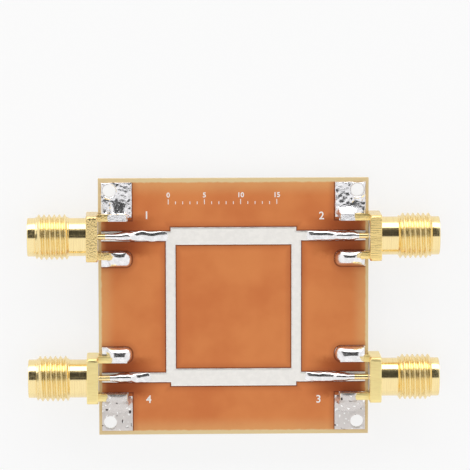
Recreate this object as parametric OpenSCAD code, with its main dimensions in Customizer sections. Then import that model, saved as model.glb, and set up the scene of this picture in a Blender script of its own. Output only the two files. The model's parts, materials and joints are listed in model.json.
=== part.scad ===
// Branch-line coupler: an unmasked two-sided laminate board with a coaxial jack soldered
// to its edge at each of four ports. Sizes are in millimetres.
// The origin is the middle of the part on the surface that its four flanges rest on.
// X runs from the left-hand jacks to the right-hand ones, Y from the lower jacks to the
// upper ones, and Z up. Each port's pieces are drawn for the upper right corner, then
// mirrored to their own.

/* [Board] */
// Length of the board along X
board_w = 37.4; // [36.4:0.1:42]
// Distance from a jack's axis to the end of the board, along Y
port_to_end = 8.02; // [7.6:0.02:11]
// Thickness of the bare laminate
laminate_t = 0.71; // [0.4:0.01:1.1]
// Thickness of the tinned foil on each side
foil_t = 0.07; // [0.035:0.005:0.12]
// Bare margin between the copper and the edges that carry jacks
side_margin = 0.4; // [0.2:0.05:0.6]
// Bare margin between the copper and the other two edges
end_margin = 0.55; // [0.2:0.05:0.7]
// Diameter of the mounting holes
hole_d = 1.8; // [1.2:0.1:2]
// Distance of a mounting hole's axis from the edge that carries the jack
hole_inset_x = 1.55; // [1.5:0.05:2]
// Distance of a mounting hole's axis from the other edge
hole_inset_y = 1.7; // [1.65:0.05:2.1]

/* [Coupler] */
// Spacing of the centre lines of the two narrow lines
ring_w = 17.38; // [14:0.02:20]
// Spacing of the centre lines of the two wide lines, which is the spacing of the ports too
ring_h = 19.76; // [18:0.02:20.6]
// Width of the narrow lines and of the feed lines
narrow_w = 1.33; // [0.9:0.01:1.8]
// Width of the wide lines
wide_w = 2.42; // [1.9:0.01:3.2]

/* [Pads] */
// Length of the pads along X
pad_w = 4.25; // [4.2:0.05:5]
// Pad past the inner face of the leg that is soldered to it
land_margin = 0.06; // [0:0.01:0.15]
// Step in the corner pad's inner corner, along X
pad_step_x = 0.6; // [0.2:0.05:0.7]
// Step in the corner pad's inner corner, along Y
pad_step_y = 0.5; // [0.2:0.05:0.8]
// Side pad past the outer face of the leg
side_apron = 1.1; // [0.8:0.05:1.6]
// Diameter of the holes that join a corner pad to the ground plane
via_d = 0.45; // [0.3:0.05:0.6]
// Number of these holes along X
via_cols = 4; // [2:1:5]
// Number of these holes along Y
via_rows = 4; // [2:1:5]
// Copper left round the holes at the pad's edges, the leg and the mounting hole
via_margin = 0.12; // [0.05:0.01:0.2]

/* [Jack] */
// Side of the square flange
flange_size = 6.35; // [6.2:0.05:7]
// Thickness of the flange
flange_t = 1.6; // [1:0.05:2.5]
// How far the turned corners of the flange lie inside the square's corners
corner_cut = 0.24; // [0.1:0.02:0.5]
// Bevel of the turned corners
corner_bevel = 0.2; // [0.05:0.05:0.4]
// Clearance between the board's edge and the flange
seat_gap = 0.05; // [0:0.01:0.2]
// Width of each leg
leg_w = 1; // [0.7:0.05:1]
// Height of each leg
leg_t = 1; // [0.7:0.05:1.2]
// Length of each leg
leg_len = 4; // [3.4:0.1:4.4]
// Diameter of the plain neck behind the thread
neck_d = 5.3; // [5:0.05:5.45]
// Length of the neck
neck_len = 2.35; // [1.5:0.05:4]
// Outer diameter of the thread
thread_d = 6.3; // [6.2:0.01:6.35]
// Length of the thread with its run-outs
thread_len = 4.65; // [3:0.05:7]
// Length of each run-out
runout_len = 0.4; // [0.2:0.05:0.6]
// Diameter of the plain land at the mouth
land_d = 5.35; // [5.2:0.05:5.45]
// Length of the plain land
land_len = 1.1; // [0.5:0.05:1.6]
// Bevels at the mouth
mouth_bevel = 0.12; // [0.05:0.01:0.15]
// Diameter of the mouth
mouth_d = 4.65; // [4.6:0.01:4.7]
// Depth of the mouth, from the tip to the face of the insulator
mouth_depth = 1.9; // [1.7:0.05:2.2]
// Diameter of the insulator
bead_d = 4.1; // [3.9:0.05:4.2]
// Diameter of the centre contact at the mouth
contact_d = 1.27; // [1.2:0.01:1.4]
// Diameter of the contact's socket
socket_d = 0.93; // [0.9:0.01:0.98]
// Depth of the socket
socket_depth = 3; // [2.6:0.1:4]
// Width of the two crossed slots that make the socket springy
finger_slot = 0.14; // [0.1:0.01:0.16]
// Length of these slots
finger_len = 2.2; // [1.5:0.1:2.5]
// Diameter of the contact's tail
tail_d = 0.76; // [0.6:0.02:0.9]
// Length of the tail past the flange, over the board
tail_len = 4.5; // [3.6:0.1:5]
// Bevel at the end of the tail
tail_bevel = 0.1; // [0.02:0.01:0.15]
// Insulator left behind the thick part of the contact
bead_web = 1.2; // [0.6:0.1:2.5]
// Radial gap between the contact, the insulator and the body
press_gap = 0.01; // [0.005:0.005:0.03]

/* [Solder] */
// Solder between the board and the legs and tail above it
film_t = 0.04; // [0.02:0.01:0.08]
// Solder between the board and the legs below it
under_film_t = 0.11; // [0.03:0.01:0.2]
// Solder over the tail
tail_cover = 0.07; // [0.03:0.01:0.15]
// Solder over and beside the legs
leg_cover = 0.06; // [0.03:0.01:0.1]
// Bare length of the tail next to the flange at each port, from upper left clockwise
bare_tail = [1, 1.35, 1.95, 1.55]; // [0.6:0.05:2]
// Length of the joint on the tail at each port
tail_joint_len = [8.7, 7.3, 6.9, 5.7]; // [4:0.1:8.8]
// Bare length of the leg over the corner pad at each port
bare_corner_leg = [1.4, 2, 1.7, 1.1]; // [0.6:0.05:2.4]
// Bare length of the leg over the side pad at each port
bare_side_leg = [1.7, 1.15, 0.7, 1.65]; // [0.6:0.05:2.4]
// Solder past the ends of the legs above the board
leg_end_fill = 0.35; // [0.2:0.05:0.5]
// Width of the fillet on the corner pad
corner_fillet_w = 1.25; // [0.6:0.05:1.3]
// Width of the fillet on the side pad
side_fillet_w = 0.9; // [0.4:0.05:1]
// Width of the fillets beside the legs below the board
under_fillet_w = 0.45; // [0.2:0.05:0.8]
// Height of the fillets beside the legs below the board
under_fillet_h = 0.7; // [0.4:0.05:0.8]
// Thickness at which a solder edge ends
feather_t = 0.03; // [0.02:0.01:0.05]
// Length of the slope at the outer end of each joint
slope_len = 0.5; // [0.2:0.05:0.7]

/* [Hidden] */
$fn = 64;
// Steps in a fillet's curve
fillet_steps = 8;
// How far a cutting shape passes the face that it cuts
past = 0.2;

PORTS = ["in", "out1", "out2", "load"];
// Which way each port lies from the middle, along X and along Y
PORT_SIDES = [[-1, 1], [1, 1], [1, -1], [-1, -1]];
PORT_PIECES = [
    "corner_pad", "side_pad", "via_fill", "jack_body", "jack_insulator", "jack_contact",
    "tail_solder", "corner_leg_solder", "side_leg_solder", "under_leg_solder"
];

// Heights, from the jack's axis down
axis_z = flange_size / 2;
leg_z = axis_z - tail_d / 2;
copper_z = leg_z - film_t;
laminate_top = copper_z - foil_t;
laminate_z = laminate_top - laminate_t;
ground_z = laminate_z - foil_t;
low_leg_z = ground_z - under_film_t;

// Places in plan
port_y = ring_h / 2;
board_h = ring_h + 2 * port_to_end;
edge_x = board_w / 2;
flange_x = edge_x + seat_gap;
copper_x = edge_x - side_margin;
copper_y = board_h / 2 - end_margin;
pad_x = copper_x - pad_w;
leg_end_x = flange_x - leg_len;
hole_at = [edge_x - hole_inset_x, board_h / 2 - hole_inset_y];

// Distances from the jack's axis to the inner and outer faces of a leg
leg_out = flange_size / 2;
leg_in = leg_out - leg_w;

// Lengths along the jack, from the flange's inner face
barrel_len = flange_t + neck_len + thread_len + land_len;
face_at = barrel_len - mouth_depth;

// Holes through a corner pad: a grid that fills it past the leg, less those at the
// mounting hole
via_edge = via_margin + via_d / 2;
via_low = [pad_x + via_edge, port_y + leg_out + via_edge];
via_high = [copper_x - via_edge, copper_y - via_edge];
via_step = [
    (via_high[0] - via_low[0]) / (via_cols - 1), (via_high[1] - via_low[1]) / (via_rows - 1)
];
VIAS = [
    for (col = [0:via_cols - 1]) for (row = [0:via_rows - 1])
        let (at = via_low + [via_step[0] * col, via_step[1] * row])
        if (norm(at - hole_at) > hole_d / 2 + via_edge) at
];

copper_tone = "#e2dfdb";
gold_tone = "#e6c26a";
solder_tone = "#c9cacd";

// Puts a piece drawn for the upper right corner at its own port
module at_port(i) {
    mirror([PORT_SIDES[i][0] < 0 ? 1 : 0, 0, 0])
        mirror([0, PORT_SIDES[i][1] < 0 ? 1 : 0, 0])
            children();
}

// Stands a piece drawn upwards along Z on the jack's axis, pointing outwards
module on_axis() {
    translate([flange_x, port_y, axis_z]) rotate([0, 90, 0]) children();
}

// A rectangle from one corner to the other
module box_2d(low, high) {
    translate(low) square(high - low);
}

// A plate with an outline in plan, from one height to another
module plate(low, high) {
    translate([0, 0, low]) linear_extrude(height = high - low) children();
}

// A bar along X between two places, with a section of Y and Z
module bar_along_x(low, high) {
    translate([low, 0, 0]) rotate([90, 0, 90]) linear_extrude(height = high - low) children();
}

// A slab along Y between two places, with an outline of X and Z
module slab_along_y(low, high) {
    translate([0, high, 0]) rotate([90, 0, 0]) linear_extrude(height = high - low) children();
}

module via_holes() {
    for (at = VIAS) translate(at) circle(d = via_d);
}

module mounting_hole() {
    translate(hole_at) circle(d = hole_d);
}

module drilled_outline() {
    difference() {
        children();
        for (i = [0:3]) at_port(i) {
            mounting_hole();
            via_holes();
        }
    }
}

module board() {
    color("#c8854f") plate(laminate_z, laminate_top) drilled_outline()
        square([board_w, board_h], center = true);
}

module ground_plane() {
    color(copper_tone) plate(ground_z, laminate_z) drilled_outline()
        square([2 * copper_x, 2 * copper_y], center = true);
}

// The ring of two narrow and two wide lines, with the feed line of each port
module coupler_trace() {
    color(copper_tone) plate(laminate_top, copper_z) {
        for (i = [0:3]) at_port(i) {
            box_2d([(ring_w - narrow_w) / 2, 0], [(ring_w + narrow_w) / 2, port_y + narrow_w / 2]);
            box_2d([0, port_y - wide_w / 2], [ring_w / 2, port_y + wide_w / 2]);
            box_2d([ring_w / 2, port_y - narrow_w / 2], [copper_x, port_y + narrow_w / 2]);
        }
    }
}

module corner_pad_outline() {
    land_y = port_y + leg_in - land_margin;
    box_2d([pad_x, land_y + pad_step_y], [copper_x, copper_y]);
    box_2d([pad_x + pad_step_x, land_y], [copper_x, copper_y]);
}

module side_pad_outline() {
    box_2d([pad_x, port_y - leg_out - side_apron], [copper_x, port_y - leg_in + land_margin]);
}

module corner_pad() {
    color(copper_tone) plate(laminate_top, copper_z) difference() {
        corner_pad_outline();
        mounting_hole();
        via_holes();
    }
}

module side_pad() {
    color(copper_tone) plate(laminate_top, copper_z) side_pad_outline();
}

// Plating and solder that fill the holes between a corner pad and the ground plane
module via_fill() {
    color(solder_tone) plate(ground_z, copper_z) via_holes();
}

module legs() {
    for (side = [-1, 1]) for (low = [leg_z, low_leg_z - leg_t])
        translate([leg_end_x, port_y + side * (leg_out - leg_w / 2) - leg_w / 2, low])
            cube([leg_len + flange_t / 2, leg_w, leg_t]);
}

// The square bar left between the turned corners
module flange() {
    corner_r = flange_size / sqrt(2) - corner_cut;
    intersection() {
        translate([-flange_size / 2, -flange_size / 2, 0])
            cube([flange_size, flange_size, flange_t]);
        rotate_extrude() polygon([
            [0, 0], [corner_r - corner_bevel, 0], [corner_r, corner_bevel],
            [corner_r, flange_t - corner_bevel], [corner_r - corner_bevel, flange_t], [0, flange_t]
        ]);
    }
}

// Neck, thread envelope with its run-outs, and the plain land at the mouth
module barrel() {
    thread_at = flange_t + neck_len;
    land_at = thread_at + thread_len;
    rotate_extrude() polygon([
        [0, flange_t / 2], [neck_d / 2, flange_t / 2], [neck_d / 2, thread_at],
        [thread_d / 2, thread_at + runout_len], [thread_d / 2, land_at - runout_len],
        [land_d / 2, land_at], [land_d / 2, barrel_len - mouth_bevel],
        [land_d / 2 - mouth_bevel, barrel_len], [0, barrel_len]
    ]);
}

// The stepped bore: the insulator's seat, then the wider mouth
module body_bore() {
    translate([0, 0, -past]) cylinder(d = bead_d + 2 * press_gap, h = face_at + 2 * past);
    translate([0, 0, face_at]) cylinder(d = mouth_d, h = mouth_depth + past);
    translate([0, 0, barrel_len - mouth_bevel])
        cylinder(d1 = mouth_d, d2 = mouth_d + 4 * mouth_bevel, h = 2 * mouth_bevel);
}

module jack_body() {
    color(gold_tone) difference() {
        union() {
            on_axis() flange();
            on_axis() barrel();
            legs();
        }
        on_axis() body_bore();
    }
}

module jack_insulator() {
    color("#f3f1ea") on_axis() difference() {
        cylinder(d = bead_d, h = face_at);
        translate([0, 0, -past]) cylinder(d = tail_d + 2 * press_gap, h = bead_web + 2 * past);
        translate([0, 0, bead_web]) cylinder(d = contact_d + 2 * press_gap, h = face_at);
    }
}

module contact_tail(end_at) {
    rotate_extrude() polygon([
        [0, -tail_len], [tail_d / 2 - tail_bevel, -tail_len], [tail_d / 2, tail_bevel - tail_len],
        [tail_d / 2, end_at], [0, end_at]
    ]);
}

// A bevelled tail and a slotted socket, turned as one piece
module jack_contact() {
    shoulder = bead_web + press_gap;
    color(gold_tone) on_axis() difference() {
        union() {
            contact_tail(shoulder + past);
            translate([0, 0, shoulder]) cylinder(d = contact_d, h = face_at - shoulder);
        }
        translate([0, 0, face_at - socket_depth]) cylinder(d = socket_d, h = socket_depth + past);
        for (turn = [0, 90]) rotate(turn)
            translate([-contact_d, -finger_slot / 2, face_at - finger_len])
                cube([2 * contact_d, finger_slot, finger_len + past]);
    }
}

// A fillet's curve: the share of its width that is left at each share of its height
function fillet_share(h) = (1 - h) * (1 - h);

// Section of a solder joint over a round tail: hollow sides up to a crown
module tail_section() {
    crown_r = tail_d / 2 + tail_cover;
    rise = axis_z - copper_z;
    half_base = narrow_w / 2;
    right = [
        for (k = [0:fillet_steps - 1]) let (h = k / fillet_steps)
            [crown_r + (half_base - crown_r) * fillet_share(h), rise * h]
    ];
    crown = [for (a = [0:15:180]) [crown_r * cos(a), rise + crown_r * sin(a)]];
    left = [for (k = [len(right) - 1:-1:0]) [-right[k][0], right[k][1]]];
    translate([port_y, copper_z]) polygon(concat(right, crown, left));
}

// The joint between the tail and its feed line. It thins out towards the ring.
module tail_solder(i) {
    high_x = flange_x - bare_tail[i];
    low_x = high_x - tail_joint_len[i];
    tail_end_x = flange_x - tail_len;
    full_z = axis_z + tail_d / 2 + tail_cover;
    color(solder_tone) difference() {
        intersection() {
            bar_along_x(low_x, high_x) tail_section();
            slab_along_y(port_y - narrow_w, port_y + narrow_w) polygon([
                [low_x, copper_z], [low_x, copper_z + feather_t], [tail_end_x, full_z + past],
                [high_x - slope_len, full_z + past], [high_x, copper_z + tail_cover], [high_x, copper_z]
            ]);
        }
        on_axis() contact_tail(0);
    }
}

// Section of the joint on a leg, at a distance from the jack's axis: a skin over the leg
// and a hollow fillet down to the pad on its outer side
module leg_section(fillet_w) {
    top = leg_z + leg_t + leg_cover;
    rise = top - copper_z - feather_t;
    fillet = [
        for (k = [0:fillet_steps]) let (h = k / fillet_steps)
            [leg_out + leg_cover + fillet_w * h, copper_z + feather_t + rise * fillet_share(h)]
    ];
    polygon(concat(
        [[leg_out + fillet_w + leg_cover, copper_z], [leg_in - land_margin, copper_z],
            [leg_in - land_margin, top]],
        fillet
    ));
}

// The joint on one leg above the board, with the film under the leg's whole length.
// It is drawn on the outer side of the jack's axis, as if that lay at Y = 0.
module leg_solder(bare_len, fillet_w) {
    high_x = flange_x - bare_len;
    low_x = leg_end_x - leg_end_fill;
    top = leg_z + leg_t + leg_cover;
    difference() {
        union() {
            intersection() {
                bar_along_x(low_x, high_x) leg_section(fillet_w);
                slab_along_y(0, leg_out + fillet_w + past) polygon([
                    [low_x, copper_z], [low_x, copper_z + leg_t / 2], [leg_end_x, top + past / 2],
                    [high_x - slope_len, top + past / 2], [high_x, copper_z + feather_t], [high_x, copper_z]
                ]);
            }
            translate([leg_end_x, leg_in, copper_z]) cube([copper_x - leg_end_x, leg_w, film_t]);
        }
        translate([leg_end_x, leg_in, leg_z]) cube([leg_len, leg_w, leg_t]);
    }
}

module corner_leg_solder(i) {
    color(solder_tone) intersection() {
        translate([0, port_y, 0]) leg_solder(bare_corner_leg[i], corner_fillet_w);
        plate(copper_z, flange_size) corner_pad_outline();
    }
}

module side_leg_solder(i) {
    color(solder_tone) intersection() {
        translate([0, port_y, 0]) mirror([0, 1, 0])
            leg_solder(bare_side_leg[i], side_fillet_w);
        plate(copper_z, flange_size) side_pad_outline();
    }
}

// Section of the joint on a leg below the board: hollow fillets on both sides
module under_section() {
    half_w = leg_w / 2;
    outer = [
        for (k = [0:fillet_steps]) let (h = k / fillet_steps)
            [half_w + feather_t + under_fillet_w * fillet_share(h), ground_z - under_fillet_h * h]
    ];
    inner = [for (k = [fillet_steps:-1:0]) [-outer[k][0], outer[k][1]]];
    polygon(concat(outer, inner));
}

module under_leg_solder() {
    low_x = leg_end_x - leg_end_fill;
    color(solder_tone) for (side = [-1, 1]) translate([0, port_y + side * (leg_out - leg_w / 2), 0])
        difference() {
            intersection() {
                bar_along_x(low_x, copper_x) under_section();
                slab_along_y(-leg_w - under_fillet_w, leg_w + under_fillet_w) polygon([
                    [low_x, ground_z], [low_x, ground_z - feather_t],
                    [leg_end_x, ground_z - under_fillet_h - past],
                    [copper_x, ground_z - under_fillet_h - past], [copper_x, ground_z]
                ]);
            }
            translate([leg_end_x, -leg_w / 2, low_leg_z - leg_t]) cube([leg_len, leg_w, leg_t]);
        }
}

board();
ground_plane();
coupler_trace();
for (i = [0:3]) {
    port = PORTS[i];
    at_port(i) corner_pad();
    at_port(i) side_pad();
    at_port(i) via_fill();
    at_port(i) jack_body();
    at_port(i) jack_insulator();
    at_port(i) jack_contact();
    at_port(i) tail_solder(i);
    at_port(i) corner_leg_solder(i);
    at_port(i) side_leg_solder(i);
    at_port(i) under_leg_solder();
}
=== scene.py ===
# %% [markdown]
# # A branch-line divider board with four coaxial jacks
# This lesson dresses a imported CAD model of a small microwave board. The bare board is an
# orange-brown laminate with tinned copper lines on it. A gold-plated jack is soldered to its
# edge at each of four ports. The CAD gives every piece its size and place. What is left for
# Blender is what a camera sees up close: cut threads, set solder, tinned foil, the laminate
# with its flux stains and painted shade, a little print, and the light that makes metal
# look like metal.

# %% Load the frame
import json
import math
import random

import bmesh
import bpy
import numpy as np
from mathutils import Matrix, Vector


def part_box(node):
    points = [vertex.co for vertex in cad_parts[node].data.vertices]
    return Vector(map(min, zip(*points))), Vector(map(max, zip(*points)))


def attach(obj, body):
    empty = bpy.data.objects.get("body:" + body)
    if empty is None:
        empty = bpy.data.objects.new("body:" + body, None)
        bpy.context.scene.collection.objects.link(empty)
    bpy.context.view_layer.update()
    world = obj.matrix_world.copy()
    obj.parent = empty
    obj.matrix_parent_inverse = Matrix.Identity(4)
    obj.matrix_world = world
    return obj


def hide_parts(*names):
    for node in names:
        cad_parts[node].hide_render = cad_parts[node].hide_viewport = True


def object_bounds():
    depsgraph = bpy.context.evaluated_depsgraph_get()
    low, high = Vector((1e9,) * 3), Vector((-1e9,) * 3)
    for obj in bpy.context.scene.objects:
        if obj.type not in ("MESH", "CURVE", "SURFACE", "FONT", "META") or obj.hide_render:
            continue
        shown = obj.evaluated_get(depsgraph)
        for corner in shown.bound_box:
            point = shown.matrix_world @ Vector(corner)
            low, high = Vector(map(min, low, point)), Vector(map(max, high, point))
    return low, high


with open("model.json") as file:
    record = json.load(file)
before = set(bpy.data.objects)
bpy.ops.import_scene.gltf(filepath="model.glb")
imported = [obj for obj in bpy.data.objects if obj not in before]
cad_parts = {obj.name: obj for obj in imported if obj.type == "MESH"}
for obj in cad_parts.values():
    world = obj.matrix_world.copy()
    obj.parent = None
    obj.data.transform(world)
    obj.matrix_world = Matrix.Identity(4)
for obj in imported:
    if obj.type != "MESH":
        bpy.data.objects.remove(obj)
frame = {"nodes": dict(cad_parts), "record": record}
cad_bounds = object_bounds()
nodes, record = frame["nodes"], frame["record"]
MM = 0.001
box_mm = [round(side / MM, 2) for side in cad_bounds[1] - cad_bounds[0]]
print(len(nodes), "nodes in a box of", box_mm, "mm")

# %% [markdown]
# Places come from the frame, so that the looks follow the CAD. Each port lies in one
# quarter of the board, and its pieces are mirror images of the upper right port's. So the
# places are read once, there, and the four ports differ only in two signs. The few sizes
# that a box can't give, such as the width of a leg, are written here, in millimetres.

# %% Places and sizes
PORTS = {"in": (-1, 1), "out1": (1, 1), "out2": (1, -1), "load": (-1, -1)}
mounts = {m["name"]: m for m in record["mounts"]}


def span(node, axis):
    """Where a CAD node begins and ends along one axis, in millimetres."""
    low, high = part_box(node)
    return low[axis] / MM, high[axis] / MM


laminate_top = span("board", 2)[1]
copper_z = span("coupler_trace", 2)[1]
ground_z = span("ground_plane", 2)[0]
copper_x, copper_y = span("ground_plane", 0)[1], span("ground_plane", 1)[1]
side_pad_x, side_pad_y = span("side_pad_out1", 0), span("side_pad_out1", 1)
corner_pad_x, corner_pad_y = span("corner_pad_out1", 0), span("corner_pad_out1", 1)
ring_x, narrow_w, wide_w, pad_round = 8.69, 1.33, 2.42, 0.9
port_y, axis_z = mounts["thread_out1"]["pos_m"][1] / MM, mounts["thread_out1"]["pos_m"][2] / MM
flange_x = span("jack_insulator_out1", 0)[0]
flange_t = 2 * (mounts["rest_face"]["pos_m"][0] / MM - flange_x)
flange_half = axis_z
leg_end_x, tip_x = span("jack_body_out1", 0)
leg_w, leg_t, tail_r, under_film = 1.0, 1.0, 0.38, 0.11
leg_z = axis_z - tail_r
leg_top = leg_z + leg_t
low_leg_z = ground_z - under_film - leg_t
leg_out = port_y + flange_half
holes = mounts["mounting_holes"]["dims"]
hole_x, hole_y, hole_r = holes["spacing_x_mm"] / 2, holes["spacing_y_mm"] / 2, holes["hole_r_mm"]
print(f"port axis at y {port_y:.2f}, z {axis_z:.3f}")
print(f"flange from x {flange_x:.2f} to {flange_x + flange_t:.2f}")

# %% [markdown]
# ## Camera
# The board was photographed from almost straight above with a long lens. Seen from half a
# metre away, the near and far jacks are drawn to nearly the same scale, and only a sliver
# of their upper sides shows. The three small turns below were fitted to the outline of the
# board. The camera stands where they put it, so no shift is needed.

# %% Camera
FOCAL_PX, SIDE_PX, SENSOR_MM = 3498.9, 470, 36.0
STAND_BACK = Vector((0.2, 9.93, 485.0))
yaw, pitch, roll = (math.radians(angle) for angle in (1.53, 7.0, 0.28))
turn = Matrix.Rotation(yaw, 3, "Y") @ Matrix.Rotation(pitch, 3, "X") @ Matrix.Rotation(roll, 3, "Z")
camera = bpy.data.objects.new("camera", bpy.data.cameras.new("camera"))
camera.data.sensor_width = SENSOR_MM
camera.data.lens = FOCAL_PX * SENSOR_MM / SIDE_PX
camera.data.clip_start, camera.data.clip_end = 0.01, 20
stand = turn.transposed() @ STAND_BACK + Vector((0, 0, copper_z))
camera.matrix_world = Matrix.Translation(stand * MM) @ turn.transposed().to_4x4()
bpy.context.scene.collection.objects.link(camera)
bpy.context.scene.camera = camera
print("camera at", [round(v, 1) for v in stand], "mm, lens", round(camera.data.lens, 1), "mm")

# %% [markdown]
# ## Shader maths as plain sums
# Procedural finishes are sums: a mask times a colour, a ripple plus a scratch. Written as
# chains of Math nodes they can't be read. The class below wraps one output of a node, so
# that `1 - mask` or `x * 2` adds the node for it. Colours go through Mix instead, because a
# Math node would turn them grey. Every other kind of node comes from one method, `node`.

# %% A wire that can be calculated with
class Wire:
    """One output of a node. Sums with it add Math nodes to its tree."""

    def __init__(self, tree, socket=None):
        self.tree, self.socket = tree, socket

    def node(self, kind, settings=None, inputs=None, out=0):
        """A new node of any kind: its settings first, then the values or wires of its inputs."""
        new = self.tree.nodes.new(kind)
        for name, value in (settings or {}).items():
            setattr(new, name, value)
        for name, value in (inputs or {}).items():
            if isinstance(value, Wire):
                self.tree.links.new(value.socket, new.inputs[name])
            else:
                new.inputs[name].default_value = value
        return Wire(self.tree, new.outputs[out])

    def math(self, operation, *values):
        return self.node("ShaderNodeMath", {"operation": operation}, dict(enumerate(values)))

    def __add__(self, other):
        return self.math("ADD", self, other)

    def __sub__(self, other):
        return self.math("SUBTRACT", self, other)

    def __rsub__(self, other):
        return self.math("SUBTRACT", other, self)

    def __mul__(self, other):
        return self.math("MULTIPLY", self, other)

    def __abs__(self):
        return self.math("ABSOLUTE", self)

    def root(self):
        return self.math("SQRT", self)

    def sine(self):
        return self.math("SINE", self)

    __radd__, __rmul__ = __add__, __mul__

    def ramp(self, low, high):
        """0 below low, 1 above high and smooth between. With low above high it falls instead."""
        return self.node("ShaderNodeMapRange", {"interpolation_type": "SMOOTHSTEP"},
                         {"Value": self, "From Min": min(low, high), "From Max": max(low, high),
                          "To Min": 0.0 if low < high else 1.0, "To Max": 1.0 if low < high else 0.0})

    def mix(self, first, second):
        """The first colour where this mask is 0, and the second where it is 1."""
        return self.node("ShaderNodeMix", {"data_type": "RGBA"}, {0: self, 6: first, 7: second}, out=2)


def srgb(red, green, blue):
    """A colour as the eye and a picture file count it, from 0 to 255, turned to light levels."""
    levels = [c / 255 for c in (red, green, blue)]
    return tuple(c / 12.92 if c <= 0.04045 else ((c + 0.055) / 1.055) ** 2.4 for c in levels) + (1.0,)


def smaller(a, b):
    return a.math("MINIMUM", a, b)


def larger(a, b):
    return a.math("MAXIMUM", a, b)


# %% [markdown]
# Most finishes here need the same start: a Principled shader with a few fixed values, the
# place of the point in millimetres, and fine noise. `finish` makes that start. Fixed
# values sit on the shader's own sockets, and only what changes over the surface is wired.

# %% Starting a finish
def finish(name, **fixed):
    """A new material with fixed values on its shader. Returns it, a free wire, and the shader."""
    material = bpy.data.materials.new(name)
    material.use_nodes = True
    shader = material.node_tree.nodes["Principled BSDF"]
    for socket, value in fixed.items():
        shader.inputs[socket.replace("_", " ").title().replace("Ior", "IOR")].default_value = value
    return material, Wire(material.node_tree), shader


def feed(wire, shader, socket):
    wire.tree.links.new(wire.socket, shader.inputs[socket])


def place_mm(wire):
    """The point's place in its object in millimetres, as a vector and as its three parts."""
    place = wire.node("ShaderNodeTexCoord", out="Object")
    scaled = place.node("ShaderNodeVectorMath", {"operation": "SCALE"}, {0: place, "Scale": 1 / MM})
    return scaled, [scaled.node("ShaderNodeSeparateXYZ", {}, {0: scaled}, out=i) for i in range(3)]


def noise(place, scale, detail=2.0, stretch=None):
    """Noise from 0 to 1. Scale is in cells a millimetre; stretch squeezes the place first."""
    if stretch:
        place = place.node("ShaderNodeVectorMath", {"operation": "MULTIPLY"}, {0: place, 1: stretch})
    return place.node("ShaderNodeTexNoise", {}, {"Vector": place, "Scale": scale, "Detail": detail})


def relief(height, shader, distance_mm):
    """Bump from a height from 0 to 1, whose real height is distance_mm."""
    bump = height.node("ShaderNodeBump", {}, {"Height": height, "Distance": distance_mm * MM})
    feed(bump, shader, "Normal")


# %% [markdown]
# ## Light
# Polished gold has hardly a colour of its own: it shows the room. On the real barrels a
# white band lies above a black one, and pale gold fills the rest. A band at one height on a
# cylinder means one direction in the room, so the bands tell where things stood: a softbox
# high behind the board, darkness straight above it around the camera, and pale walls. The
# world below is that room, as a function of direction, with a little clutter in the dark.
# Camera rays see plain white instead, and the level of the softbox is set so that a flat
# white sheet comes out white.

# %% World
SOFTBOX, WALLS, DARK, CLUTTER = 2.8, 1.0, 0.035, 0.4
DARK_FROM, DARK_TO, SOFTBOX_TO, EDGE = 1.0, 56.0, 94.0, 1.2
DARK_REACH, SOFTBOX_REACH = (0.52, 0.46), (0.75, 0.68)
world = bpy.data.worlds.new("studio")
bpy.context.scene.world = world
world.use_nodes = True
air = Wire(world.node_tree)
towards = air.node("ShaderNodeTexCoord", out="Generated")
side, back, up = [towards.node("ShaderNodeSeparateXYZ", {}, {0: towards}, out=i) for i in range(3)]
lean = back.math("ARCTAN2", back, up) * (180 / math.pi)
in_dark = lean.ramp(DARK_FROM - EDGE, DARK_FROM + EDGE) * lean.ramp(DARK_TO + EDGE, DARK_TO - EDGE)
in_dark = in_dark * abs(side).ramp(*DARK_REACH)
in_softbox = lean.ramp(DARK_TO - EDGE, DARK_TO + EDGE) * lean.ramp(SOFTBOX_TO + EDGE, SOFTBOX_TO - EDGE)
in_softbox = in_softbox * abs(side).ramp(*SOFTBOX_REACH)
clutter = noise(towards, 11.0, 3.0).ramp(0.5, 0.7)
level = WALLS + in_dark * (DARK + clutter * CLUTTER - WALLS) + in_softbox * (SOFTBOX - WALLS)
seen = larger(air.node("ShaderNodeLightPath", out="Is Camera Ray"),
              air.node("ShaderNodeLightPath", out="Is Transmission Ray"))
background = world.node_tree.nodes["Background"]
feed(level + seen * (1 - level), background, "Strength")
background.inputs["Color"].default_value = (1, 1, 1, 1)
print("room: dark from", DARK_FROM, "to", DARK_TO, "degrees, softbox to", SOFTBOX_TO)

# %% [markdown]
# The floor is a wide white sheet at the height that the flanges rest on. It carries the
# object's soft shadow. For camera rays and mirrored ones a share of plain white is mixed in,
# which keeps the sheet as white as a studio sweep without more light on the object.

# %% Floor
def new_object(name, vertices, faces, material=None):
    mesh = bpy.data.meshes.new(name)
    mesh.from_pydata([tuple(v) for v in vertices], [], [tuple(int(i) for i in f) for f in faces])
    mesh.update()
    piece = bpy.data.objects.new(name, mesh)
    bpy.context.scene.collection.objects.link(piece)
    if material:
        mesh.materials.append(material)
    return piece


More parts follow.
